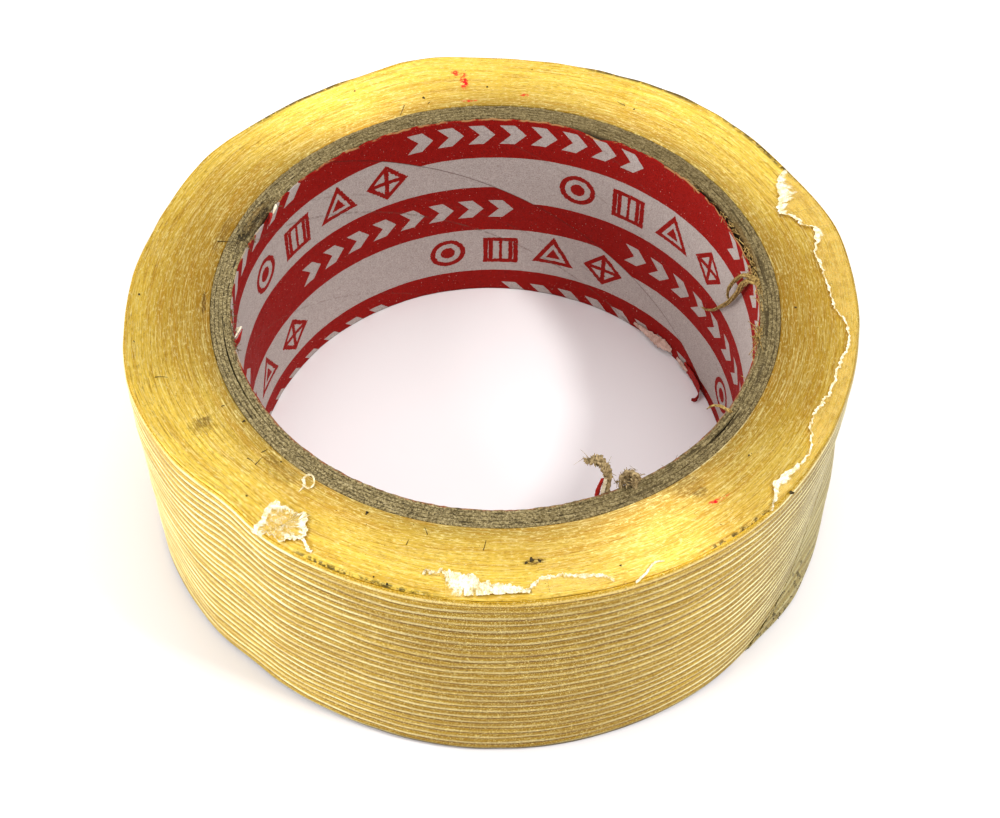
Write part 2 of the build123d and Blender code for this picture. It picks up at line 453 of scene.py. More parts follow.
def tape_edge_material():
    """The edges of the wound turns: honey-coloured adhesive and film in fine streaks, with painted
    shade in some sectors.
    """
    paint = Paint("edges_of_turns")
    x, y, _, here = paint.axes()
    angle = angle_of(x, y)
    round_x = (angle * (math.pi / 180)).math("COSINE")
    round_y = (angle * (math.pi / 180)).math("SINE")
    share = paint.attribute("share")

    def streaks(across, around, detail, rough):
        lattice = paint.vector(share * across, round_x * around, round_y * around)
        return lattice.noise(1.0, detail, rough)

    band = streaks(14.0, 3.0, 3.0, 0.55)
    streak = streaks(70.0, 9.0, 4.0, 0.6)
    fine = streaks(190.0, 26.0, 3.0, 0.65)
    grit = streaks(46.0, 62.0, 3.0, 0.65)
    patch = here.noise(0.11, 3.0, 0.55)
    paint.colour = paint.mix(share.ramp(0.0, 0.8), rgb(206, 172, 66), rgb(248, 212, 82))
    paint.wash(share, 0.25, 0.0, 0.5, 140, 112, 40)
    # Painted shade: the two opposite sectors round -9° and 171°, where the turned edges send little
    # light back, are darker and more orange, most strongly on the inner half.
    painted_dark_sectors = ((angle + 9.0) * (math.pi / 90)).math("COSINE")
    painted_dark_sectors = painted_dark_sectors.ramp(0.3, 1.0, 0.0, 0.6) * share.ramp(1.0, 0.5, 0.35, 1.0)
    paint.coat(painted_dark_sectors, 168, 120, 2)
    # Painted shade: the brightly lit sector round -60° is toned down towards a greyer ochre.
    lit_sector_shade = ((angle + 60.0) * (math.pi / 180)).math("COSINE")
    paint.wash(lit_sector_shade, 0.86, 1.0, 0.3, 156, 126, 76)
    paint.wash(band, 0.55, 0.35, 0.45, 188, 134, 20)
    paint.wash(streak, 0.5, 0.3, 0.65, 156, 108, 14)
    paint.wash(streak, 0.52, 0.7, 0.6, 255, 238, 160)
    paint.wash(fine, 0.56, 0.72, 0.7, 255, 247, 186)
    paint.wash(fine, 0.46, 0.3, 0.65, 134, 92, 12)
    paint.wash(grit, 0.54, 0.68, 0.5, 255, 244, 170)
    paint.wash(grit, 0.45, 0.31, 0.42, 140, 98, 22)
    paint.wash(patch, 0.45, 0.75, 0.2, 176, 132, 38)
    first_turn = share.ramp(0.022, 0.01) & angle.ramp(-54.0, -48.0)
    first_turn = first_turn & angle.ramp(-27.0, -33.0) & grit.ramp(0.4, 0.55)
    paint.coat(first_turn * 0.7, 236, 222, 168)
    speck = here.noise(3.1, 1.0, 0.5).ramp(0.74, 0.79) & grit.ramp(0.45, 0.6)
    paint.coat(speck, 84, 62, 26)
    rough_edge = here.noise(1.1, 4.0, 0.7)
    grime = edge_grime(angle, rough_edge) & share.ramp(0.93, 0.985)
    paint.coat(grime * 0.9, 72, 58, 24)
    for centre, at, length, width, strength in SMUDGES:
        mark = spot(x, y, centre, at, length, width, rough_edge) & grit.ramp(0.62, 0.4, 0.35, 1.0)
        paint.coat(mark * strength, 104, 74, 30)
    red_grain = here.noise(1.9, 3.0, 0.7)
    for centre, at, length, width, strength in RED_MARKS:
        mark = spot(x, y, centre, at, length, width, rough_edge) & red_grain.ramp(0.4, 0.55)
        paint.coat(mark * strength, 224, 22, 32)
    height = streak * 0.5 + (fine * 0.5 + grit * 0.3)
    return paint.finish(
        Base_Color=paint.colour, Metallic=0.7, Anisotropic=0.94,
        Tangent=radial_tangent(paint, x, y),
        Roughness=streak.ramp(0.3, 0.7, 0.5, 0.6), Normal=paint.bump(height, 0.35, 0.08),
    )


def tape_wall_material(name, dirty=False):
    """The film over the yarns: cream ridges, amber valleys, glossy, with painted highlight and
    shade along the yarns and round the roll.
    """
    paint = Paint(name)
    x, y, _, here = paint.axes()
    angle = angle_of(x, y)
    row = paint.split(paint.out("ShaderNodeUVMap"))[1]
    phase = row.math("FRACT")
    yarn = row.math("FLOOR")

    def lengthwise(around, across, detail, rough, seed):
        return paint.vector(x * around, y * around, across + seed).noise(1.0, detail, rough)

    def line(centre, half_width):
        """A thin line along each yarn; its place within the yarn wanders a little."""
        apart = (phase - centre - wander).math("WRAP", 0.5, -0.5)
        return abs(apart).ramp(half_width, half_width * 0.1)

    each = lengthwise(0.05, yarn * 5.3, 3.0, 0.6, 0.0)
    along = lengthwise(0.09, yarn * 2.3, 4.0, 0.6, 40.0)
    faint = lengthwise(0.035, yarn * 7.7, 3.0, 0.6, 20.0)
    threads = lengthwise(0.16, row * 11.0, 4.0, 0.65, 90.0)
    wander = (each - 0.5) * 0.4
    grain = here.noise(2.6, 3.0, 0.6)
    grit = here.noise(5.2, 2.0, 0.6)
    from_front = abs(angle + 84.0)
    paint.colour = paint.mix(each.ramp(0.3, 0.7), rgb(158, 120, 18), rgb(188, 150, 32))
    # Painted light and shade: each yarn lighter towards its upper side, where the lamps catch it;
    # the left side, round -172°, paler; the front, round -84°, darker between the highlights either
    # side.
    paint.wash(phase, 0.1, 0.9, 0.3, 206, 172, 62)
    paint.wash(degrees_from(angle, -172.0), 60.0, 32.0, 0.3, 226, 190, 84)
    paint.wash(from_front, 30.0, 8.0, 0.5, 128, 94, 6)
    uneven = angle + (here.noise(0.09, 4.0, 0.6) - 0.5) * 60.0
    # Painted shade: towards the right of the front the wall turns greyer and darker, with a ragged
    # far boundary.
    painted_grey_shade = angle.ramp(-58.0, -28.0) & uneven.ramp(40.0, -10.0)
    paint.coat(painted_grey_shade * 0.8, 106, 92, 52)
    far_side_painted_sheen = angle.ramp(-40.0, -22.0) & uneven.ramp(30.0, -14.0)
    paint.wash(row, 24.4, 25.8, 0.45, 232, 184, 36)
    # Painted shade and highlight: a dark line on the lower flank of each yarn's ridge, a fainter
    # one near the valley at its top, and a pale highlight line just above each crest, stronger
    # towards the sides.
    painted_shade_line = line(0.28, 0.22) * faint.ramp(0.3, 0.6, 0.5, 1.0)
    paint.coat(painted_shade_line, 104, 68, 6)
    painted_valley_shade = line(0.88, 0.14) * faint.ramp(0.6, 0.4, 0.0, 0.5)
    paint.coat(painted_valley_shade, 116, 78, 10)
    painted_highlight_line = line(0.56, 0.22) * along.ramp(0.3, 0.62, 0.25, 1.0)
    painted_highlight_line = painted_highlight_line * from_front.ramp(8.0, 40.0, 0.36, 1.0)
    paint.coat(painted_highlight_line, 255, 250, 200)
    paint.wash(threads, 0.55, 0.72, 0.45, 236, 208, 108)
    paint.wash(threads, 0.45, 0.28, 0.5, 112, 80, 8)
    paint.wash(grain, 0.55, 0.7, 0.4, 236, 212, 116)
    paint.wash(grain, 0.44, 0.3, 0.45, 112, 84, 16)
    paint.wash(grit, 0.54, 0.68, 0.5, 250, 236, 160)
    paint.wash(grit, 0.45, 0.32, 0.45, 108, 78, 12)
    # Painted shade: darkest along the lowest row, where the wall meets the floor.
    paint.wash(row, 0.85, 0.4, 0.85, 56, 42, 12)
    # Painted reflection: a pale grey sheen near the right-hand silhouette, where the film meets the
    # light at a grazing angle.
    paint.coat(far_side_painted_sheen * 0.35, 166, 152, 112)
    speck = here.noise(2.2, 1.0, 0.5).ramp(0.76, 0.8)
    paint.coat(speck * 0.6, 88, 66, 30)
    behind = row.ramp(25.3, 25.7) & y.ramp(10.0, 20.0)
    rim_grime = edge_grime(angle, here.noise(1.1, 4.0, 0.7)) & behind
    paint.coat(rim_grime * 0.85, 72, 58, 24)
    if dirty:
        low = row.ramp(7.0, 2.0) & here.noise(0.9, 4.0, 0.7).ramp(0.55, 0.6)
        tip = angle.ramp(-10.0, -26.0)
        paint.wash(row, 18.0, 6.0, 0.45, 168, 156, 104)
        paint.coat((low & tip) * 0.8, 60, 50, 26)
    return paint.finish(
        Base_Color=paint.colour, Metallic=0.3, Anisotropic=0.8, Tangent=paint.vector(0.0, 0.0, 1.0),
        Roughness=along.ramp(0.3, 0.7, 0.42, 0.5),
        Normal=paint.bump(threads + grain, 0.25, 0.05), Specular_IOR_Level=0.12,
        Coat_Weight=0.06, Coat_Roughness=0.16,
    )


# Marks on the rim of the core, brown and dark; the thinnest dark ones are painted shade in splits
# of the board: (angle, radius, length, width, strength, colour)
BOARD_MARKS = (
    (158.0, 39.2, 4.6, 1.3, 0.55, (128, 98, 46)), (157.0, 38.8, 3.4, 0.7, 0.95, (34, 26, 14)),
    (161.0, 38.7, 1.8, 0.6, 0.7, (60, 44, 22)), (163.8, 39.4, 1.5, 1.0, 0.9, (40, 34, 20)),
    (16.0, 38.9, 7.0, 0.6, 0.6, (110, 80, 34)), (8.0, 39.6, 6.0, 0.35, 0.8, (40, 34, 20)),
    (-39.8, 39.55, 3.0, 0.3, 1.0, (16, 12, 6)), (-34.6, 39.85, 2.6, 0.2, 0.9, (30, 24, 14)),
    (-47.0, 39.0, 2.4, 0.25, 0.8, (36, 30, 18)), (-21.0, 39.7, 3.6, 0.25, 0.8, (36, 30, 18)),
    (-7.0, 39.2, 4.0, 0.3, 0.85, (30, 24, 14)), (24.0, 39.9, 4.0, 0.25, 0.7, (40, 34, 20)),
    (-60.0, 40.2, 4.0, 0.22, 0.6, (40, 34, 20)),
)


def chipboard_material():
    """Grey-brown recycled paper pulp, seen on its rough cut edge, with painted shade below the rim.
    """
    paint = Paint("recycled_board")
    x, y, z, here = paint.axes()
    radius = (x * x + y * y).math("SQRT")
    fibre = paint.vector(radius * 2.4, x, y).noise(1.0, 5.0, 0.7)
    streak = paint.vector(radius * 3.6, x * 0.4, y * 0.4).noise(1.0, 3.0, 0.6)
    grain = here.noise(2.6, 4.0, 0.75)
    fleck = here.noise(3.8, 2.0, 0.6)
    from_joint = (radius - (BORE_RADIUS + LINER_THICKNESS)).math("PINGPONG", PLY_THICKNESS / 2)
    joint_line = from_joint.ramp(0.08, 0.01) * fibre.ramp(0.4, 0.6, 0.2, 0.8)
    shade_below_rim = z.ramp(CORE_TOP - 1.1, CORE_TOP - 0.2)
    paint.colour = paint.mix(grain.ramp(0.35, 0.65), rgb(96, 82, 48), rgb(166, 150, 106))
    paint.wash(fibre, 0.5, 0.35, 0.45, 78, 64, 40)
    paint.coat(joint_line, 66, 54, 32)
    paint.wash(fleck, 0.58, 0.68, 0.75, 196, 180, 138)
    paint.wash(fleck, 0.44, 0.35, 0.9, 46, 40, 26)
    paint.wash(streak, 0.42, 0.34, 0.85, 48, 40, 26)
    gritty = x.ramp(6.0, 26.0) & grain.ramp(0.5, 0.4)
    paint.coat(gritty * 0.5, 62, 52, 32)
    for centre, at, length, width, strength, tone in BOARD_MARKS:
        mark = spot(x, y, centre, at, length, width, grain)
        paint.coat(mark * strength, *tone)
    paint.wash(streak, 0.62, 0.7, 0.5, 186, 170, 128)
    inner_edge = radius.ramp(BORE_RADIUS + 0.5, BORE_RADIUS + 0.3)
    inked = inner_edge & fibre.ramp(0.45, 0.6) & y.ramp(0.0, -20.0)
    paint.coat(inked * 0.6, 158, 66, 44)
    paint.wash(x, -12.0, 30.0, 0.35, 96, 80, 48)
    paint.wash(y, 0.0, 40.0, 0.35, 96, 80, 48)
    # Painted shade: the board turns dark brown below the rim, down in the gaps between plies and in
    # the worn recess.
    paint.wash(shade_below_rim, 0.9, 0.0, 0.85, 34, 28, 18)
    normal = paint.bump(grain + fibre, 0.9, 0.2)
    return paint.finish(
        Base_Color=paint.colour, Roughness=0.92, Normal=normal, Specular_IOR_Level=0.2,
    )


# The print on the liner. Distances are along the bore from LINER_START and down from the top.
LINER_START = 175.0
SEAM_AT_TOP = 26.5
SEAM_SLOPE = 0.5156
BAND_HEIGHT = 9.95
FIRST_BAND = 8.4
BAND_RISE = 0.0141
BAND_LEVEL_AT = 75.0
GROUP_SPACING = 2 * math.pi * BORE_RADIUS / 4
ROW_SHIFT = 22.0
ARROW_START = 41.3
ARROW_SPAN = 40.4
ARROW_PITCH = 5.05
ICON_START = 65.4
ICON_PITCH = 9.2
ARROW_HALF = 1.95
# Creases up the liner, each darkened with painted shade: (angle, strength)
CREASES = ((-22.0, 0.5), (-14.5, 0.22), (21.0, 0.2), (41.0, 0.26), (-60.0, 0.3))


def icon_masks(px, py):
    """Four plain printed ornaments, centred on px, py in millimetres."""
    ax, ay = abs(px), abs(py)
    far = (px * px + py * py).math("SQRT")
    ring = (abs(far - 2.65) < 0.45) | (far < 1.25)
    largest = ax | ay
    bars = (ax + 0.1).math("PINGPONG", 0.9) < 0.38
    square = (abs(largest - 2.6) < 0.42) | (bars & (largest < 2.6))
    side = (ax * 0.87 + py * 0.5) | (py * -1.0)
    triangle = (abs(side - 1.75) < 0.4) | (side < 0.75)
    diamond = ax + ay
    cross = (ax.math("MINIMUM", ay) < 0.4) & (diamond < 3.2)
    lozenge = (abs(diamond - 3.2) < 0.55) | cross
    return ring, square, triangle, lozenge


def print_masks(along, down, past_seam, here):
    """Where the print lies: the red bands, and the arrows and ornaments in them and between."""
    before = past_seam < 0.0
    strip = along + before * (2 * math.pi * BORE_RADIUS)
    level = (down - FIRST_BAND) + (strip - BAND_LEVEL_AT) * BAND_RISE
    level = level + (here.noise(1.4, 3.0, 0.6) - 0.5) * 0.12
    band = (level * (1 / BAND_HEIGHT)).math("FLOOR")
    is_red = band.math("PINGPONG", 1.0) > 0.5
    pair = ((band + 1.0) * 0.5).math("FLOOR")
    shifted = strip + pair * ROW_SHIFT
    py = BAND_HEIGHT / 2 - (level - band * BAND_HEIGHT)
    edge = (here.noise(2.8, 2.0, 0.6) - 0.5) * 0.5

    arrow_at = (shifted - ARROW_START).math("WRAP", GROUP_SPACING, 0.0)
    slant = (ARROW_HALF - abs(py)) * 0.95
    stroke = (arrow_at.math("WRAP", ARROW_PITCH, 0.0) - slant) - edge * 0.4
    arrow = (stroke > 0.3) & (stroke < 2.75) & (abs(py) < ARROW_HALF) & (arrow_at < ARROW_SPAN)

    icon_at = (shifted - ICON_START).math("WRAP", GROUP_SPACING, 0.0)
    slot = (icon_at * (1 / ICON_PITCH)).math("FLOOR")
    px = ((icon_at - slot * ICON_PITCH) - ICON_PITCH / 2) + edge
    icon = None
    for index, mask in enumerate(icon_masks(px, py + edge)):
        one = mask & slot.math("COMPARE", float(index), 0.5)
        icon = one if icon is None else icon | one
    return is_red, arrow, icon


def liner_material():
    """Lavender-grey paper printed with deep red bands, arrows and plain ornaments."""
    paint = Paint("printed_paper_strip")
    x, y, z, here = paint.axes()
    angle = angle_of(x, y)
    along = (LINER_START - angle) * math.radians(BORE_RADIUS)
    down = WIDTH - z
    past_seam = along - (down * (1 / SEAM_SLOPE) + SEAM_AT_TOP)
    is_red, arrow, icon = print_masks(along, down, past_seam, here)
    pulp = here.noise(1.1, 4.0, 0.7)
    ink_grain = here.noise(5.5, 2.0, 0.6)
    paint.colour = paint.mix(ink_grain.ramp(0.35, 0.65), rgb(160, 149, 144), rgb(191, 182, 177))
    paint.wash(pulp, 0.35, 0.6, 0.2, 150, 136, 128)
    paint.wash(here.noise(3.1, 1.0, 0.5), 0.72, 0.78, 0.7, 120, 98, 74)
    paper = paint.colour
    red = paint.mix(ink_grain.ramp(0.3, 0.7), rgb(116, 8, 4), rgb(158, 18, 9))
    pale, deep = paint.mix(icon, paper, red), paint.mix(arrow, red, paper)
    paint.colour = paint.mix(is_red, pale, deep)
    paint.wash(here.noise(4.2, 1.0, 0.5), 0.74, 0.78, 0.8, 214, 190, 176)

    torn_edge = paint.attribute("share").ramp(0.99, 0.996)
    torn_edge = torn_edge & here.noise(0.35, 3.0, 0.6).ramp(0.46, 0.54)
    paint.coat(torn_edge * 0.5, 186, 160, 104)
    # Painted shade: a dark line along the seam, where the overlapping edge stands up, and grey
    # lines along the creases.
    square_off = math.cos(math.atan(SEAM_SLOPE)) * SEAM_SLOPE
    seam = abs(past_seam * square_off).ramp(0.16, 0.04)
    paint.coat(seam * 0.55, 74, 34, 26)
    relief = seam
    for offset, strength in CREASES:
        near = abs((past_seam - offset) * square_off)
        crease = near.ramp(0.28, 0.05) & pulp.ramp(0.38, 0.62)
        paint.coat(crease * strength, 92, 72, 62)
        relief = relief | (crease * 0.6)
    return paint.finish(
        Base_Color=paint.colour, Roughness=pulp.ramp(0.3, 0.7, 0.6, 0.78),
        Normal=paint.bump(pulp * 0.5 - relief, 0.35, 0.12), Specular_IOR_Level=0.1,
    )


def torn_film_material():
    """Clear film that turns white and opaque where it is crazed along a torn edge."""
    paint = Paint("crazed_film")
    here = paint.place()
    craze = here.noise(1.6, 4.0, 0.7)
    fold = here.noise(0.6, 3.0, 0.6)
    white = paint.attribute("torn") + (craze - 0.5) * 1.1
    crinkled = paint.mix(craze.ramp(0.38, 0.58), rgb(226, 206, 150), rgb(254, 248, 222))
    return paint.finish(
        Base_Color=paint.mix(white.ramp(0.15, 0.6), rgb(250, 220, 116), crinkled),
        Alpha=fold.ramp(0.35, 0.7, 0.05, 0.22) | white.ramp(0.15, 0.7, 0.0, 0.95),
        Roughness=craze.ramp(0.3, 0.7, 0.22, 0.5), Normal=paint.bump(craze + fold, 0.7, 0.25),
        Coat_Weight=0.3, Coat_Roughness=0.15,
    )


def fibre_material(name, dark, light, spread=1.6):
    """Twisted paper or glass fibre with lengthwise variation."""
    paint = Paint(name)
    tuft = paint.place().noise(spread, 4.0, 0.7)
    return paint.finish(
        Base_Color=paint.mix(tuft.ramp(0.35, 0.65), rgb(*dark), rgb(*light)), Roughness=0.85,
        Normal=paint.bump(tuft, 0.8, 0.2), Specular_IOR_Level=0.25,
    )


def floor_material():
    paint = Paint("floor_paint")
    tone = paint.place().noise(0.02, 2.0, 0.5)
    return paint.finish(
        Base_Color=paint.mix(tone, (0.86, 0.84, 0.86), (0.90, 0.885, 0.90)), Roughness=0.7,
    )


# ---- the tape ----


def build_pack():
    """The wound turns: a ring with the uneven edges of the turns on both side faces."""
    angle = np.linspace(-180, 180, 760, endpoint=False)
    top_share = np.linspace(0, 1, 2 * TURN_COUNT + 1)
    bottom_share = np.linspace(1, 0, TURN_COUNT // 2 + 1)
    shares = np.concatenate([[0.0], top_share, [1.0, 1.0, 1.0], bottom_share, [0.0]])
    a, s = np.meshgrid(angle, shares, indexing="ij")
    radius = CORE_RADIUS + 0.06 + s * (PACK_RADIUS - CORE_RADIUS - 0.2 + bulge(a) * s**0.5)
    top = slice(1, 1 + len(top_share))
    wall = slice(top.stop, top.stop + 3)
    bottom = slice(wall.stop, wall.stop + len(bottom_share))
    z = np.zeros_like(a)
    z[:, 0] = WIDTH - 1.0
    z[:, top] = face_height(a, s)[:, top]
    z[:, wall] = (WIDTH - 1.2, WIDTH / 2, 1.0)
    radius[:, wall] -= 0.7
    under = 0.06 + 0.05 * ripple(a / 360, s, 60, TURN_COUNT // 2, 21)
    under += 0.4 * smooth((s - 0.975) / 0.025)
    z[:, bottom] = under[:, bottom]
    z[:, -1] = 1.0
    piece = grid_piece("wound_tape_turns", polar(a, radius, z), tape_edge_material())
    grid_uv(piece, angle / 360, shares)
    point_attribute(piece, "share", s)
    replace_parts(piece, "wound_tape")


# One yarn's ridge: rows across the yarn, and how high the film stands there
RIDGE_ROWS = np.array([0.0, 0.14, 0.3, 0.42, 0.5, 0.58, 0.7, 0.86])
RIDGE_SHAPE = np.array([0.0, 0.1, 0.55, 0.93, 1.0, 0.93, 0.55, 0.1])
RIDGE_HEIGHT = 0.11
FILM_BACK = 0.12


def wall_surface(angle):
    """The film over the yarns at each angle: rows, and (columns, rows) of angle, radius, z."""
    rows = (np.arange(YARN_COUNT)[:, None] + RIDGE_ROWS[None, :]).ravel()
    rows = np.append(rows, YARN_COUNT)
    shape = np.append(np.tile(RIDGE_SHAPE, YARN_COUNT), 0.0)
    a, w = np.meshgrid(angle, rows, indexing="ij")
    u, v = a / 360, w / YARN_COUNT
    together = 0.2 * ripple(u, v, 17, 3, 31) + 0.1 * ripple(u, v, 41, 5, 32)
    alone = 0.16 * ripple(u, v, 47, YARN_COUNT, 33)
    edge = smooth(v / 0.04) * smooth((1 - v) / 0.04)
    pitch = (CORE_TOP - CORE_BOTTOM) / YARN_COUNT
    z = CORE_BOTTOM + w * pitch + (together + alone) * edge
    height = RIDGE_HEIGHT * (0.7 + 0.45 * ripple(u, v, 60, YARN_COUNT, 35))
    slack = 0.12 * ripple(u, v, 24, 4, 36) + 0.05 * ripple(u, v, 90, 12, 38)
    edge_drop = 0.25 * smooth(1 - w / 0.6) + 0.14 * smooth(1 - (YARN_COUNT - w) / 0.6)
    lean = 0.5 * bump(a, -20, 34) * smooth((WIDTH - 6 - z) / 9)
    undented = 1.1 * np.exp(-(((a + 135) / 10) ** 2)) * smooth((WIDTH - 5 - z) / 26)
    radius = WALL_RADIUS - 0.05 + bulge(a) + shape * height + slack - edge_drop - lean + undented
    return rows, a, radius, z


def build_wall():
    """The last turn: film pulled over the yarns, all round."""
    angle = np.linspace(-180, 180, 960, endpoint=False)
    rows, a, outer, z = wall_surface(angle)
    rim = 0.12 * line_ripple(angle / 360, 90, 37)
    z[:, -1] = CORE_TOP - 0.02 + rim
    back = PACK_RADIUS - 0.8 + bulge(angle)
    inside = [polar(angle, back, CORE_TOP - 0.8 + rim), polar(angle, back, CORE_BOTTOM + 0.05)]
    points = np.concatenate([polar(a, outer, z), np.stack(inside, axis=1)], axis=1)
    film = tape_wall_material("film_over_yarns")
    piece = grid_piece("last_turn_wall", points, film)
    grid_uv(piece, angle / 360, np.concatenate([rows, [YARN_COUNT, 0.0]]))
    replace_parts(piece, "last_turn_adhesive", "last_turn_yarns", "last_turn_film")


# ---- the core ----


def build_core():
    """Five chipboard plies with a rough rim; some of them have come apart near the top."""
    material = chipboard_material()
    angle = np.linspace(-180, 180, 1100, endpoint=False)
    u = angle / 360
    none = 0 * angle
    split = 0.18 * bump(angle, -157, 18) + 0.3 * bump(angle, -38, 8) + 0.07 * bump(angle, -112, 8)
    peeled = 0.3 * bump(angle, 24, 20)
    worn = 1.4 * smooth(2.5 * bump(angle, 21, 22))
    gaps = ((peeled, none), (none, 0.4 * split), (0.8 * split, none), (none, none), (none, none))
    across = np.array([0.0, 0.0, 0.06, 0.25, 0.5, 0.75, 0.94, 1.0, 1.0, 1.0, 0.5, 0.0])
    a, t = np.meshgrid(angle, across, indexing="ij")
    for index, (inside, outside) in enumerate(gaps):
        inner = BORE_RADIUS + LINER_THICKNESS + index * PLY_THICKNESS
        rough = 0.1 * ripple(a / 360, t, 420, 4, 50 + index)
        rough += 0.06 * ripple(a / 360, t, 150, 2, 60 + index)
        level = 0.05 * line_ripple(u, 30, 70 + index)[:, None]
        z = CORE_TOP - 0.12 + rough + level
        z[:, [2, 6]] -= 0.02
        z[:, [1, 7]] -= 0.07
        if index == 0:
            z[:, 1:8] -= worn[:, None]
        z[:, [0, 8]] = CORE_TOP - 3.0
        z[:, 9:] = CORE_BOTTOM
        radius = inner + t * PLY_THICKNESS
        squeezed = inner + inside[:, None] + t * (PLY_THICKNESS - inside - outside)[:, None]
        radius[:, :9] = squeezed[:, :9]
        name = f"core_ply_{index + 1}"
        piece = grid_piece(f"{name}_board", polar(a, radius, z), material)
        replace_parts(piece, name)


# Where the liner's upper edge is torn down: (angle, half-width, depth, how much of that is even
# and how much ragged, cells of the raggedness, seed)
LINER_TEARS = (
    (66, 8, 0.9, 0.7, 0.5, 120, 83),
    (158, 9, 0.5, 0.6, 0.6, 160, 84),
    (8, 20, 0.5, 0.4, 0.8, 140, 85),
)


def build_liner():
    """The printed paper inside the core, with its seam and torn upper edge."""
    columns, levels = 1400, 110
    angle = np.linspace(-180, 180, columns, endpoint=False)
    u = angle / 360
    torn = 0.12 * line_ripple(u, 170, 81) + 0.1 * line_ripple(u, 420, 82)
    for centre, half_width, shade_below_rim, even, ragged, cells, seed in LINER_TEARS:
        jagged = even + ragged * line_ripple(u, cells, seed)
        torn -= shade_below_rim * bump(angle, centre, half_width) * jagged
    top = CORE_TOP - 0.3 + torn - 0.25 * bump(angle, -90, 80)
    a, s = np.meshgrid(angle, np.linspace(0, 1, levels), indexing="ij")
    z = CORE_BOTTOM + 0.02 + s * (top[:, None] - CORE_BOTTOM)
    along = (LINER_START - a) * math.radians(BORE_RADIUS)
    past = along - SEAM_AT_TOP - (WIDTH - z) / SEAM_SLOPE
    lift = 0.09 * np.exp(-((past - 0.25) / 0.5) ** 2) + 0.04 * np.exp(-((past + 22) / 0.8) ** 2)
    wave = 0.05 * ripple(a / 360, s, 36, 5, 86) + 0.02 * ripple(a / 360, s, 160, 14, 87)
    inner = BORE_RADIUS + 0.06 - lift + wave
    lean = 0.25 * bump(angle, 158, 10) + 0.3 * bump(angle, 20, 20)
    inner -= lean[:, None] * smooth((s - 0.9) / 0.1)
    outer = BORE_RADIUS + LINER_THICKNESS
    back = [polar(angle, outer - lean, top + 0.02), polar(angle, outer, 0.9 * top),
            polar(angle, outer, CORE_BOTTOM)]
    points = np.concatenate([polar(a, inner, z), np.stack(back, axis=1)], axis=1)
    piece = grid_piece("liner_print", points[:, ::-1], liner_material())
    shares = np.concatenate([s, np.tile([1.0, 0.9, 0.0], (columns, 1))], axis=1)
    point_attribute(piece, "share", shares[:, ::-1])
    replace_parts(piece, "printed_liner")


# ---- the loose end ----

# How far the loose end's upper part stands off the wall: (angle, millimetres)
STAND_OFF = ((-46, 0.13), (10, 0.14), (34, 0.13), (40, 0.06), (46, -0.12), (54, -0.3))
# The torn edge: (angle, height)
TEAR = (
    (-43.5, -1.0), (-41.5, 1.4), (-38.0, 2.8), (-34.5, 4.0), (-31.5, 5.6), (-29.0, 8.0),
    (-27.0, 10.8), (-25.0, 13.8), (-22.5, 16.8), (-19.0, 20.0), (-13.5, 25.0), (-9.0, 29.0),
    (-3.0, 33.5), (1.0, 36.5), (5.0, 41.0),
)
FLARE = 1.35
PEEL_BEFORE = 6  # degrees of tape either side of the hinge at which two points are worked out; nothing uses them
PEEL_AFTER = 5


def free_end_faces(good, cells, u, w):
    """Faces of a sheet with a front and a back from its good points, closed along its edges."""
    index = -np.ones(good.shape, int)
    count = int(good.sum())
    index[good] = np.arange(count)
    faces, uvs, edges = [], [], {}
    for i, j in zip(*np.nonzero(cells)):
        ring = [(i, j), (i + 1, j), (i + 1, j + 1), (i, j + 1)]
        ids = [int(index[p]) for p in ring]
        faces.append(ids)
        faces.append([count + k for k in ids[::-1]])
        uvs.extend([(u[p], w[p]) for p in ring + ring[::-1]])
        for k in range(4):
            edges[(ids[k], ids[(k + 1) % 4])] = (ring[k], ring[(k + 1) % 4])
    for (p, q), (at_p, at_q) in edges.items():
        if (q, p) not in edges:
            faces.append([q, p, count + p, count + q])
            uvs.extend([(u[at], w[at]) for at in (at_q, at_p, at_p, at_q)])
    return faces, uvs


def build_free_end():
    """The torn loose end: it leaves the wall at its root and flares out towards the floor."""
    columns = 300
    rows, a, radius, z = wall_surface(np.linspace(-46, 54, columns))
    u, w = a / 360, np.tile(rows, (columns, 1))
    v = w / YARN_COUNT
    off = np.interp(a, *np.transpose(np.array(STAND_OFF, float)))
    tear_angle, tear_height = np.transpose(np.array(TEAR, float))
    limit = np.interp(z, tear_height, tear_angle)
    limit += 0.5 * ripple(v, 0.5 + 0 * w, 130, 1, 91)
    limit += 0.7 * ripple(v, 0.5 + 0 * w, 40, 1, 92)
    past_tear = np.radians(a - limit) * WALL_RADIUS
    flare = smooth(past_tear / 14) * smooth((26 - z) / 17) * smooth((30 - a) / 45)
    outer = radius + off + FLARE * flare + 0.1 * ripple(u, v, 50, 5, 93)
    near = (a < limit) & (a > limit - 2.4)
    good = (a >= limit) | near
    at = np.where(near, np.maximum(a, limit), a)
    cells = good[:-1, :-1] & good[1:, :-1] & good[1:, 1:] & good[:-1, 1:]
    cells &= ~(near[:-1, :-1] & near[1:, :-1] & near[1:, 1:] & near[:-1, 1:])
    faces, uvs = free_end_faces(good, cells, u, w)
    verts = np.concatenate([polar(at, outer, z)[good], polar(at, outer - FILM_BACK, z)[good]])
    film = tape_wall_material("film_of_loose_end", dirty=True)
    piece = finish_mesh("free_end_strip", verts, faces, film, body=None)
    strip_uv(piece, uvs)
    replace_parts(piece, "free_end_adhesive", "free_end_yarns", "free_end_film")
    hinge_angle = math.degrees(math.atan2(HINGE.y, HINGE.x))
    start = polar(hinge_angle + PEEL_BEFORE, WALL_RADIUS, WIDTH / 2) * MM
    end = polar(hinge_angle - PEEL_AFTER, WALL_RADIUS, WIDTH / 2) * MM
    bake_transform(piece)


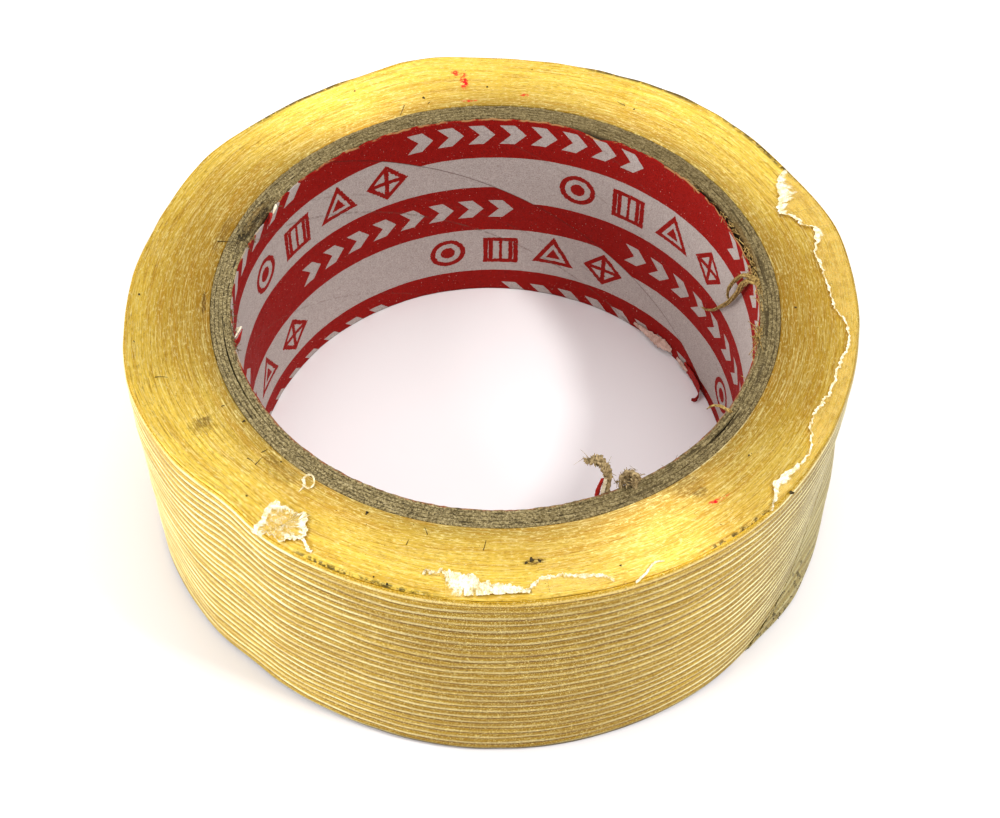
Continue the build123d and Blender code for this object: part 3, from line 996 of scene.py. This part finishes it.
# ---- scraps of film ----

# Torn edges, as (angle, radius) on the upper side face
RIGHT_EDGE = (
    (-46.2, 52.9), (-44.6, 51.7), (-41.5, 50.1), (-36.9, 50.7), (-33.5, 51.0), (-29.2, 49.1),
    (-25.4, 48.7), (-22.3, 49.3), (-16.9, 49.7), (-13.8, 50.1), (-10.0, 50.7), (-5.4, 50.2),
    (-1.5, 48.7), (3.8, 48.5), (7.7, 47.9), (11.5, 48.1), (16.2, 49.7), (17.7, 48.1),
    (20.4, 47.5), (21.5, 46.1), (23.8, 46.5), (25.4, 47.7), (28.5, 48.5), (30.8, 51.5),
)
FRONT_EDGE = (
    (-100.0, 49.1), (-99.6, 48.6), (-98.8, 49.0), (-97.5, 48.6), (-96.2, 48.5), (-94.1, 48.8),
    (-92.6, 48.8), (-91.6, 49.8), (-90.3, 50.0), (-88.3, 50.1), (-86.3, 50.4), (-84.8, 51.0),
    (-84.0, 50.1), (-82.2, 49.4), (-80.8, 49.2), (-78.0, 49.5), (-74.6, 50.1), (-72.3, 51.4),
)
LEFT_EDGE = (
    (-124.9, 52.3), (-126.1, 51.9), (-126.6, 49.8), (-127.1, 47.9), (-125.7, 47.2),
    (-123.6, 47.1), (-122.6, 47.4), (-121.6, 46.6), (-120.6, 46.9), (-120.1, 48.1),
    (-119.2, 48.9), (-119.2, 49.9), (-120.4, 50.8), (-121.7, 51.9), (-123.7, 51.8),
    (-124.9, 52.3),
)
LEFT_MIDDLE = (-123.2, 49.6)
# How far out the front scrap reaches, with a narrow neck at its left end
FRONT_FOOT = (
    (-100.4, 49.6), (-99.0, 49.3), (-97.0, 49.2), (-96.7, 49.5), (-96.4, 52.2), (-92.0, 51.8),
    (-88.0, 51.5), (-84.8, 51.5), (-72.0, 51.7),
)


def white_on_right(angle, _):
    """How far in from its torn edge the right scrap is white, in millimetres."""
    wide = 0.55 + 3.4 * bump(angle, 26, 7) + 1.3 * bump(angle, 16.5, 6)
    return wide + 1.0 * bump(angle, -41, 5) + 0.5 * bump(angle, 8, 4)


def white_on_front(angle, _):
    return 0.5 + 5.6 * smooth((angle + 97.0) / 0.4) * smooth((-84.2 - angle) / 2.5)


def white_on_left(angle, radius):
    wide = 0.55 + 1.3 * bump(angle, -127, 2.6) + 1.9 * bump(angle, -119.8, 2.4)
    return wide - 0.25 * smooth(radius - 50.8)


def build_scrap(side, edge, film, white, seed, foot=None, middle=None, haze=0.0):
    """Torn film on the side face, from its torn edge out to the rim, or round a middle point."""
    count, levels = 40 * len(edge), 34
    edge_angle, edge_radius = curve_through(edge, count).T
    u = np.linspace(0, 1, count)
    v = np.linspace(0, 1, levels) ** 1.6
    fine = 0.16 * line_ripple(u, count // 4, seed)
    fine += 0.24 * line_ripple(u, count // 11, seed + 1)
    edge_angle += 0.2 * line_ripple(u, count // 6, seed + 2)
    ends = smooth(u / 0.02) * smooth((1 - u) / 0.02)
    edge_radius += fine * ends
    far_angle = edge_angle
    far_radius = PACK_RADIUS + bulge(edge_angle) - 0.3
    if foot:
        far_radius = np.minimum(far_radius, np.interp(edge_angle, *np.transpose(foot)))
    if middle:
        far_angle, far_radius = middle
    angle = edge_angle[:, None] + (far_angle - edge_angle)[:, None] * v
    radius = edge_radius[:, None] + (far_radius - edge_radius)[:, None] * v
    apart = np.radians(angle - edge_angle[:, None]) * 50
    spread = np.hypot(radius - edge_radius[:, None], apart)
    uneven = 1 + 0.5 * line_ripple(u, count // 12, seed + 3)
    reach = (white(edge_angle, edge_radius) * uneven)[:, None]
    torn = np.maximum(smooth(1 - spread / np.maximum(reach, 0.15)), haze)
    crinkle = 0.18 * ripple(u[:, None], v, count // 5, 9, seed + 4)
    crinkle += 0.16 * ripple(u[:, None], v, count // 13, 5, seed + 5)
    lift = 0.09 + np.abs(crinkle) * torn * 1.3 + 0.3 * torn
    share = np.clip(face_share(angle, radius), 0, 1)
    top = np.minimum(face_height(angle, share), WIDTH) + lift
    verts = np.concatenate([polar(angle, radius, z).reshape(-1, 3) for z in (top, top - 0.05)])
    half = count * levels
    ids = np.arange(half).reshape(count, levels)
    borders = (
        (ids[:-1, 0], ids[1:, 0]), (ids[1:, -1], ids[:-1, -1]),
        (ids[0, 1:], ids[0, :-1]), (ids[-1, :-1], ids[-1, 1:]),
    )
    skirts = [np.stack([q, p, half + p, half + q], -1) for p, q in borders]
    faces = grid_faces(count, levels, False, False)
    faces = np.concatenate([faces, faces[:, ::-1] + half, *skirts]).tolist()
    piece = finish_mesh(f"scrap_{side}", verts, faces, film)
    point_attribute(piece, "torn", np.tile(torn.ravel(), 2))
    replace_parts(piece, f"film_scrap_{side}")


def torn_piece(name, parts, film, torn):
    """A piece of torn film that is equally torn all over."""
    piece = joined(name, parts, film)
    point_attribute(piece, "torn", np.full(len(piece.data.vertices), torn))
    return piece


def build_curl(film):
    """The narrow scrap curled into a loop, with its tail."""
    low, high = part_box("film_scrap_curl")
    centre = (low + high) / 2 / MM
    centre += Vector((0.3, -0.1, 0.0))
    turn = np.linspace(-2.5, 2.6, 40)
    base = WIDTH + 0.05
    ring = np.stack([centre.x + 0.8 * np.cos(turn), centre.y + 0.9 * np.sin(turn),
                     base + 0.35 + 0.25 * np.sin(turn * 1.5)], -1)
    end = ring[-1]
    tail = curve_through([end, end + (0.2, -0.9, -0.2), end + (-0.5, -1.9, -0.3)], 14)
    parts = [tube(ring, np.full(40, 0.2), 8, 0.25, 1.4),
             tube(tail, np.linspace(0.3, 0.08, 14), 6, 0.3, 0.8)]
    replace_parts(torn_piece("scrap_curl", parts, film, 0.5), "film_scrap_curl")


def build_scraps():
    film = torn_film_material()
    build_scrap("right", RIGHT_EDGE, film, white_on_right, 101)
    build_scrap("front", FRONT_EDGE, film, white_on_front, 111, foot=FRONT_FOOT)
    build_scrap("left", LEFT_EDGE, film, white_on_left, 121, middle=LEFT_MIDDLE, haze=0.3)
    tails = [
        ribbon(((-30.6, -42.4, 40.3), (-30.4, -43.1, 40.4), (-29.7, -43.0, 40.2)),
               ((0.3, -0.3, 0.1), (0.45, -0.3, 0.1), (0.2, -0.2, 0.0)), 0.06, 51, 0.3, 16),
        ribbon(((-24.4, -43.5, 40.3), (-23.9, -44.4, 40.5), (-23.5, -45.2, 40.25),
                (-23.0, -45.6, 40.1)),
               ((0.3, 0.0, 0.1), (0.16, 0.0, 0.1), (0.22, 0.1, 0.0), (0.1, 0.2, 0.0)),
               0.05, 52, 0.3, 22),
    ]
    torn_piece("scrap_tails", tails, film, 0.8)
    build_curl(film)


# ---- fibres ----

YARN_ROUTE = (
    (-69.6, 52.6, 0.0), (-68.6, 52.2, 0.2), (-67.8, 51.9, 0.3), (-66.5, 51.1, 0.3),
    (-65.6, 50.8, 0.2), (-64.4, 51.0, 0.1),
)


def build_loose_yarn():
    line = curve_through(polar_route(*[(a, r, WIDTH + h) for a, r, h in YARN_ROUTE]), 40)
    steps = np.arange(40)
    parts = []
    for k in range(3):
        turn = steps * 0.35 + 2.1 * k
        shift = 0.1 * np.stack([np.cos(turn), np.sin(turn), 0 * steps], -1)
        parts.append(tube(line + shift, np.linspace(0.09, 0.03, 40), 6))
    glass = fibre_material("glass_fibre", (226, 214, 170), (255, 252, 236))
    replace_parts(joined("yarn_loose", parts, glass), "loose_yarn")


def strand(route, radius, seed, threads, count):
    """Several thin threads twisted round one line, thinning to the far end."""
    line = curve_through(route, count)
    rng = np.random.default_rng(seed)
    parts = []
    t = np.linspace(0, 1, count)
    for k in range(threads):
        offset = 2 * math.pi * k / threads
        turn = offset + 9 * t + rng.uniform(-0.3, 0.3)
        swing = radius * (0.75 + 0.3 * np.sin(7 * t + offset)) * (1 - 0.7 * t**2)
        wobble = np.stack([np.cos(turn), np.sin(turn), 0.4 * np.sin(2 * turn)], -1)
        thick = radius * 0.62 * (1 - 0.75 * t**1.5) * rng.uniform(0.7, 1.1)
        parts.append(tube(line + wobble * swing[:, None], thick, 6))
    return parts


def hair(start, direction, length, radius, seed, droop=0.0, count=9):
    """One short curved fibre."""
    rng = np.random.default_rng(seed)
    d = np.asarray(direction, float)
    d /= np.linalg.norm(d)
    bend = rng.normal(0, 0.55, 3)
    t = np.linspace(0, 1, count)[:, None]
    curve = d * t + bend * 0.5 * t**2 + np.array([0, 0, -droop]) * t**2
    return tube(np.asarray(start) + length * curve, np.linspace(radius, radius * 0.4, count), 5)


def random_hair(rng, start, direction, length, radius, seed, droop=0.0):
    """A fibre of a random length and thickness."""
    length *= rng.uniform(0.4, 1.0)
    radius *= rng.uniform(0.6, 1.2)
    return hair(start, direction, length, radius, seed, droop)


def fuzz(around, number, length, radius, seed, spread=0.4):
    """Short fibres standing out of a line of points."""
    rng = np.random.default_rng(seed)
    parts = []
    for k in range(number):
        start = around[int(rng.integers(0, len(around)))] + rng.normal(0, spread * 0.3, 3)
        parts.append(random_hair(rng, start, rng.normal(0, 1, 3), length, radius, seed + 1 + k))
    return parts


def rim_fuzz(first, last, number, inner, outer, length, radius, seed):
    """Fibres along part of the core's inner rim, leaning in and along it."""
    rng = np.random.default_rng(seed)
    parts = []
    for k in range(number):
        angle = rng.uniform(first, last)
        start = polar(angle, rng.uniform(inner, outer), CORE_TOP - rng.uniform(-0.05, 0.5))
        inward = -start * (1, 1, 0) / np.linalg.norm(start[:2])
        along = np.array([-inward[1], inward[0], 0]) * rng.choice([-1, 1])
        go = inward * rng.uniform(-0.1, 0.7) + along * rng.uniform(0.6, 1.4)
        go[2] = rng.uniform(-0.5, 0.35)
        parts.append(random_hair(rng, start, go, length, radius, seed + 1 + k, 0.2))
    return parts


# ---- frays on the core's rim ----

# Routes, as (angle, radius, height)
HANGING_TAIL = (
    (4.6, 38.4, 39.6), (6.3, 37.6, 38.9), (8.8, 37.3, 36.6), (10.7, 37.2, 33.7),
    (14.2, 37.1, 29.2), (18.2, 37.1, 25.2), (22.0, 37.3, 21.8), (25.0, 37.4, 19.8),
    (27.2, 37.5, 18.9),
)
HANGING_LOOP = (
    (5.0, 38.4, 39.8), (7.6, 37.4, 39.2), (9.9, 37.0, 37.6), (13.2, 36.9, 34.2),
    (15.1, 36.9, 31.4), (15.2, 36.9, 29.9), (14.0, 37.0, 29.4),
)
STRAW_ROUTE = ((-33.2, 38.9, 39.7), (-33.5, 37.4, 40.1), (-34.2, 36.3, 40.0), (-35.3, 35.8, 39.6))

# The board's curls, as (x, y, z), with the half-width of the standing one at each point
CURL_ROUTE = (
    (15.1, -34.9, 38.6), (15.15, -34.6, 41.3), (15.1, -34.4, 43.1), (14.5, -34.3, 44.5),
    (13.8, -34.2, 45.4), (12.9, -34.2, 45.6), (12.2, -34.3, 45.3), (11.8, -34.3, 45.9),
)
CURL_ACROSS = (
    (0.3, 0.4, 0), (0.3, 0.45, 0), (0.3, 0.5, 0.05), (0.25, 0.55, 0.1), (0.1, 0.6, 0.2),
    (0.0, 0.5, 0.1), (0.0, 0.35, 0.1), (0.0, 0.15, 0.0),
)
KNOT_ROUTE = (
    (16.9, -34.2, 39.6), (17.0, -33.8, 41.3), (17.7, -33.7, 42.1), (18.6, -33.8, 42.2),
    (19.2, -33.9, 41.4), (18.6, -33.7, 40.9), (17.9, -33.6, 41.4), (18.4, -33.9, 41.8),
    (18.9, -34.4, 39.6),
)
KNOT_MIDDLE = (17.9, -33.9, 40.6)

# Strips torn off the liner at the front: (colour, route, half-widths, seed)
FRONT_STRIPS = (
    ("red",
     ((13.75, -35.3, 39.2), (13.85, -35.2, 40.4), (14.1, -35.1, 41.6), (14.3, -35.0, 42.6)),
     ((0.3, 0.1, 0), (0.3, 0.1, 0), (0.26, 0.1, 0), (0.2, 0.05, 0)), 33),
    ("white",
     ((14.45, -35.3, 39.2), (14.5, -35.25, 40.4), (14.65, -35.1, 41.6), (14.75, -35.0, 42.7)),
     ((0.22, 0.1, 0), (0.26, 0.1, 0), (0.24, 0.1, 0), (0.2, 0.05, 0)), 34),
)

# Torn bits elsewhere on the liner: colour, thickness and (route as angle, radius and height;
# half-widths; seed) for each
LINER_BITS = (
    ("red", 0.1, (
        (((-164.6, 38.2, 39.2), (-165.8, 37.2, 39.9), (-167.6, 36.9, 39.6)),
         ((0.1, 0.15, 0.6), (0.15, 0.3, 0.7), (0.1, 0.2, 0.35)), 41),
        (((155.5, 38.0, 39.2), (156.6, 37.2, 39.6), (158.2, 37.0, 39.2)),
         ((0.2, 0.2, 0.55), (0.3, 0.3, 0.7), (0.1, 0.1, 0.3)), 42),
        (((31.5, 38.0, 1.3), (28.6, 37.8, 1.4), (25.6, 37.7, 1.3), (23.0, 37.5, 1.2),
          (21.2, 36.9, 1.1), (20.4, 36.2, 0.9), (20.8, 35.5, 0.8)),
         ((0, 0, 0.8), (0, 0, 0.95), (0, 0, 1.0), (0, 0, 0.95), (0, 0, 0.85), (0, 0, 0.6),
          (0, 0, 0.3)), 43),
    )),
    ("white", 0.12, (
        (((-166.0, 38.2, 39.4), (-167.4, 37.3, 40.0), (-168.8, 37.2, 39.4), (-169.6, 37.7, 38.8)),
         ((0.3, 0.1, 0.3), (0.35, 0.2, 0.4), (0.3, 0.1, 0.4), (0.1, 0.1, 0.2)), 44),
        (((152.6, 38.1, 39.6), (154.0, 37.4, 40.0), (155.6, 37.2, 39.8)),
         ((0.2, 0.2, 0.3), (0.3, 0.2, 0.4), (0.1, 0.1, 0.2)), 45),
    )),
    ("brown", 0.12, (
        (((50.5, 38.0, 1.3), (47.8, 37.8, 1.4), (44.1, 37.6, 1.5), (41.2, 37.5, 1.7),
          (39.0, 37.6, 1.8), (36.8, 37.8, 1.7)),
         ((0.05, 0.05, 0.2), (0.1, 0.1, 0.4), (0.2, 0.2, 0.6), (0.3, 0.3, 0.8),
          (0.25, 0.25, 0.7), (0.1, 0.1, 0.3)), 46),
        (((34.5, 37.9, 1.3), (32.0, 37.7, 1.2), (29.6, 37.8, 1.0)),
         ((0.05, 0.05, 0.2), (0.1, 0.1, 0.4), (0.05, 0.05, 0.2)), 47),
    )),
)


def build_hanging_strand(straw):
    """A twisted paper strand hanging from the right side of the rim."""
    loop = polar_route(*HANGING_LOOP)
    parts = strand(polar_route(*HANGING_TAIL), 0.42, 5, 4, 70)
    parts += strand(loop, 0.36, 6, 4, 50)
    parts += fuzz(curve_through(loop, 60)[:40], 34, 1.0, 0.04, 40)
    parts += rim_fuzz(2, 14, 40, 37.9, 39.0, 1.7, 0.1, 1300)
    joined("twisted_strand", parts, straw)


def build_rim_fibres(straw, dark):
    """Frayed fibres of the innermost ply on the right, behind on the left, and all round."""
    fibres = rim_fuzz(-24, 27, 80, 38.2, 39.0, 1.9, 0.08, 2000)
    fibres += rim_fuzz(-13, -8, 40, 37.8, 38.7, 1.8, 0.1, 2300)
    fibres += rim_fuzz(27, 62, 26, 38.2, 38.8, 1.2, 0.06, 2400)
    fibres += strand(polar_route(*STRAW_ROUTE), 0.22, 9, 3, 30)
    joined("rim_fibres_straw", fibres, straw)
    fibres = rim_fuzz(150, 166, 130, 38.2, 40.2, 2.0, 0.12, 2500)
    fibres += rim_fuzz(-176, -160, 50, 38.2, 38.9, 1.8, 0.08, 2700)
    fibres += rim_fuzz(-180, 180, 170, 38.2, 41.0, 0.9, 0.05, 2800)
    joined("rim_fibres_dark", fibres, dark)


def build_front_curls(board):
    """A ribbon of board that stands up from the front of the rim, and a crumpled tuft by it."""
    parts = [ribbon(CURL_ROUTE, CURL_ACROSS, 0.3, 31, 0.25, 60)]
    shifted = [(x - 0.25, y + 0.25, z - 0.4) for x, y, z in CURL_ROUTE[:6]]
    parts.append(ribbon(shifted, CURL_ACROSS[:6], 0.18, 32, 0.3, 44))
    parts += fuzz(curve_through(CURL_ROUTE, 60)[15:], 40, 1.4, 0.055, 60)
    knot = curve_through(KNOT_ROUTE, 70)
    thick = np.full(70, 0.42) * (1 + 0.3 * np.sin(np.arange(70) * 0.9))
    parts.append(tube(knot, thick, 8, 0.6, 9))
    parts += fuzz(knot, 90, 0.9, 0.07, 90, 1.2)
    heap = np.random.default_rng(7).normal(0, 1, (80, 3)) * (0.6, 0.25, 0.35) + KNOT_MIDDLE
    parts += fuzz(heap, 110, 0.9, 0.1, 400, 0.5)
    joined("board_curls", parts, board)


def build_frays():
    straw = fibre_material("frayed_paper", (104, 78, 34), (186, 156, 92), 2.2)
    dark = fibre_material("frayed_board", (58, 48, 30), (132, 114, 72), 2.2)
    torn = {
        "red": fibre_material("torn_print", (128, 14, 8), (176, 34, 26)),
        "white": fibre_material("torn_paper", (206, 190, 160), (244, 234, 212)),
    }
    greyed = fibre_material("curled_board", (98, 80, 50), (190, 166, 122), 2.2)
    torn["brown"] = fibre_material("paper_back", (172, 138, 122), (214, 184, 170), 1.2)
    build_hanging_strand(straw)
    build_rim_fibres(straw, dark)
    build_front_curls(greyed)
    for colour, route, across, seed in FRONT_STRIPS:
        strip = ribbon(route, across, 0.1, seed)
        joined(f"torn_liner_{colour}", [strip], torn[colour])
    for colour, thickness, bits in LINER_BITS:
        strips = [ribbon(polar_route(*route), across, thickness, seed)
                  for route, across, seed in bits]
        joined(f"liner_tears_{colour}", strips, torn[colour])


# ---- lint ----

# Lint on the upper side face: (angle, radius, turn from the turns' direction, length)
LINT = (
    (110.5, 43.4, 60, 1.9), (105.0, 43.0, 40, 1.0), (167.0, 42.6, 100, 3.9),
    (-160.2, 50.0, 90, 1.5), (-168.6, 52.0, 30, 0.7), (-149.6, 43.2, 95, 1.0),
    (-136.3, 42.9, 80, 1.5), (-134.9, 44.8, 95, 0.9), (-136.9, 44.9, 20, 1.0),
    (-104.0, 45.5, 80, 0.9), (-91.4, 44.8, 75, 1.2), (-101.1, 43.3, 110, 0.7),
    (64.0, 46.3, 0, 0.9),
)
# Crumbs: (angle, radius, size)
CRUMBS = (
    (-131.3, 49.0, 0.15), (-112.6, 42.3, 0.24), (-144.4, 41.6, 0.2), (-132.3, 42.0, 0.14),
    (-106.8, 51.3, 0.13), (-104.6, 51.9, 0.2), (-121.0, 50.7, 0.12), (62.0, 46.1, 0.17),
    (84.0, 50.4, 0.15), (-178.6, 51.6, 0.17), (-2.5, 43.5, 0.16), (-40.0, 44.8, 0.15),
    (-70.5, 49.6, 0.18), (-82.6, 46.7, 0.3), (-83.6, 46.6, 0.34), (-84.5, 46.7, 0.2),
    (106.0, 44.4, 0.22), (-41.5, 52.4, 0.3), (118.0, 49.6, 0.14), (92.4, 45.6, 0.22),
)


def build_lint():
    """Dark lint and crumbs that the adhesive has picked up, on the face and low on the wall."""
    rng = np.random.default_rng(17)
    parts, grit = [], []
    for angle, radius, tilt, length in LINT:
        a = math.radians(angle + 90 + tilt)
        start = on_face(angle, radius, 0.06)
        points, faces = hair(start, (math.cos(a), math.sin(a), 0.02), length * 1.2, 0.065,
                             int(700 + angle))
        points[:, 2] = np.clip(points[:, 2], start[2] - 0.06, start[2] + 0.3)
        parts.append((points, faces))
    for angle, radius, size in CRUMBS:
        flat = rng.normal(0, 1, 3) * (1, 1, 0.1)
        start = on_face(angle, radius, 0.03)
        parts.append(hair(start, flat, size * 1.6, size, int(800 + angle), count=5))
    for k in range(12):
        angle = rng.uniform(-37, -27)
        out = WALL_RADIUS + bulge(angle) + 0.3 + (angle + 39) / 14
        start = polar(angle, out, rng.uniform(0.5, 3.5))
        go = rng.normal(0, 1, 3)
        length, radius = rng.uniform(0.2, 0.35), rng.uniform(0.05, 0.1)
        grit.append(hair(start, go, length, radius, 900 + k, count=6))
    grime = fibre_material("grime", (34, 28, 16), (78, 66, 36), 3.0)
    joined("lint", parts, grime)
    joined("free_end_grit", grit, grime, "free_end")


# ---- stage ----

# The camera: where it stands, how far it looks down, and its turns to the right and round its
# line of sight, in degrees; then its lens and sensor
CAMERA_PLACE = (0.0, -162.78, 215.76)
CAMERA_PITCH = 51.22
CAMERA_YAW = 0.33
CAMERA_ROLL = 1.18
LENS = 59.32
SENSOR = 36.0

# Lamps in metres: (name, place, size, watts, colour); all point at LIT
LIT = (0, 0, 0.02)
LAMPS = (
    ("right", (0.42, -0.2, 0.67), (0.1, 0.1), 3.6, (1.0, 0.985, 0.96)),
    ("left", (-0.5, -0.35, 0.57), (0.16, 0.16), 1.5, (1.0, 0.98, 0.97)),
    ("window", (-0.74, -0.1, 0.2), (0.7, 0.3), 4.0, (1.0, 0.99, 0.97)),
    ("overhead", (0.0, 0.2, 0.9), (0.55, 0.8), 3.0, (1.0, 0.99, 0.98)),
)
FLOOR_SIZE = 1.6


def build_camera():
    pitch, yaw, roll = (math.radians(d) for d in (CAMERA_PITCH, CAMERA_YAW, CAMERA_ROLL))
    level = math.cos(pitch)
    forward = Vector((math.sin(yaw) * level, math.cos(yaw) * level, -math.sin(pitch)))
    right = forward.cross(Vector((0, 0, 1))).normalized()
    up = right.cross(forward)
    turned_right = right * math.cos(roll) + up * math.sin(roll)
    turned_up = up * math.cos(roll) - right * math.sin(roll)
    data = bpy.data.cameras.new("camera")
    data.lens = LENS
    data.sensor_width = SENSOR
    data.clip_start = 0.01
    camera = bpy.data.objects.new("camera", data)
    axes = Matrix((turned_right, turned_up, -forward)).transposed().to_4x4()
    camera.matrix_world = Matrix.Translation(Vector(CAMERA_PLACE) * MM) @ axes
    bpy.context.scene.collection.objects.link(camera)
    bpy.context.scene.camera = camera


def build_floor():
    s = FLOOR_SIZE
    mesh = bpy.data.meshes.new("floor")
    mesh.from_pydata([(-s, -s, 0), (s, -s, 0), (s, s, 0), (-s, s, 0)], [], [(0, 1, 2, 3)])
    mesh.materials.append(floor_material())
    floor = bpy.data.objects.new("floor", mesh)
    bpy.context.scene.collection.objects.link(floor)


def build_lights():
    world = bpy.data.worlds.new("studio")
    world.use_nodes = True
    background = world.node_tree.nodes["Background"]
    background.inputs["Color"].default_value = (1.0, 0.985, 0.97, 1.0)
    background.inputs["Strength"].default_value = 0.66
    bpy.context.scene.world = world
    for name, place, size, power, colour in LAMPS:
        data = bpy.data.lights.new(name, "AREA")
        data.shape = "RECTANGLE"
        data.size, data.size_y = size
        data.energy = power
        data.color = colour
        lamp = bpy.data.objects.new(name, data)
        lamp.location = place
        aim = Vector(LIT) - Vector(place)
        lamp.rotation_euler = aim.to_track_quat("-Z", "Y").to_euler()
        bpy.context.scene.collection.objects.link(lamp)
    bpy.context.scene.view_settings.view_transform = "Standard"


build_camera()
build_floor()
build_lights()
build_pack()
build_wall()
build_core()
build_liner()
build_scraps()
build_loose_yarn()
build_frays()
build_lint()
build_free_end()
